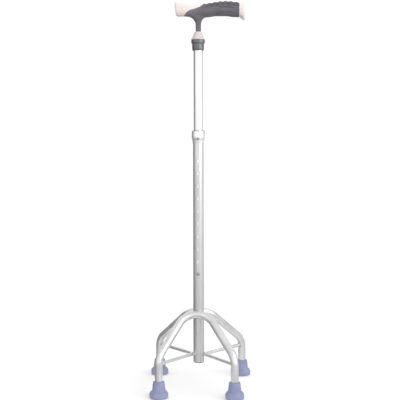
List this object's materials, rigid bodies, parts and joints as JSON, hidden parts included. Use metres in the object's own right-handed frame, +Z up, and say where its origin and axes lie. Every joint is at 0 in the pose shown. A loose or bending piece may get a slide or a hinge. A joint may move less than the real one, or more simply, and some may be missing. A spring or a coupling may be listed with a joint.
{
  "type": "quad walking cane",
  "caption": "Height-adjustable walking cane with a T-shaped palm handle, a telescoping pole with a snap button, and a small welded base on rubber feet.",
  "frame": {"origin": "on the floor at the pole's axis, which is the centre of the footprint", "axes": "+Z up along the pole, +X to the right along the handle's long finger grip, -Y towards the front feet and the adjustment holes"},
  "size_m": [0.2136, 0.2108, 0.7777],
  "materials": {
    "pole_silver": "satin anodised",
    "pole_white": "satin anodised, paler",
    "collar_silver": "satin",
    "frame_steel": "satin plated",
    "hardware_steel": "plain",
    "black_plastic": "moulded, fine grain",
    "grip_dark": "soft matt grip",
    "handle_cream": "smooth moulded",
    "foot_rubber": "matt"
  },
  "bodies": {
    "lower": {"lower_tube": "pole_silver", "lower_tube_plug": "black_plastic", "guide_collar": "collar_silver", "guide_bush": "black_plastic", "guide_collar_screw": "hardware_steel", "leg_hoop_front": "frame_steel", "leg_hoop_rear": "frame_steel", "brace_left": "frame_steel", "brace_right": "frame_steel", "weld_hoop_front": "frame_steel", "weld_hoop_rear": "frame_steel", "weld_brace_left": "frame_steel", "weld_brace_right": "frame_steel", "foot_front_left": "foot_rubber", "foot_front_right": "foot_rubber", "foot_rear_left": "foot_rubber", "foot_rear_right": "foot_rubber", "foot_washer_front_left": "hardware_steel", "foot_washer_front_right": "hardware_steel", "foot_washer_rear_left": "hardware_steel", "foot_washer_rear_right": "hardware_steel"},
    "upper": {"upper_tube": "pole_white", "upper_tube_glide": "black_plastic", "snap_spring": "hardware_steel", "neck_plug": "hardware_steel", "neck_collar": "black_plastic", "neck_pin": "hardware_steel", "neck_cone": "handle_cream", "handle_core": "hardware_steel", "handle_palm_block": "handle_cream", "handle_grip": "grip_dark", "handle_end_cap": "handle_cream", "handle_side_screw": "hardware_steel", "end_cap_screw": "hardware_steel"},
    "button": {"snap_button": "hardware_steel"}
  },
  "joints": [
    {"name": "height_slide", "type": "slide", "parent": "lower", "child": "upper", "axis": [0, 0, 1], "range_m": [0, 0.2286], "deforming": ["snap_button"]},
    {"name": "button_press", "type": "slide", "parent": "upper", "child": "button", "axis": [0, 1, 0], "range_m": [0, 0.0052], "stiffness_N_per_m": 1500, "springref_m": -0.002, "deforming": ["snap_spring"]}
  ]
}
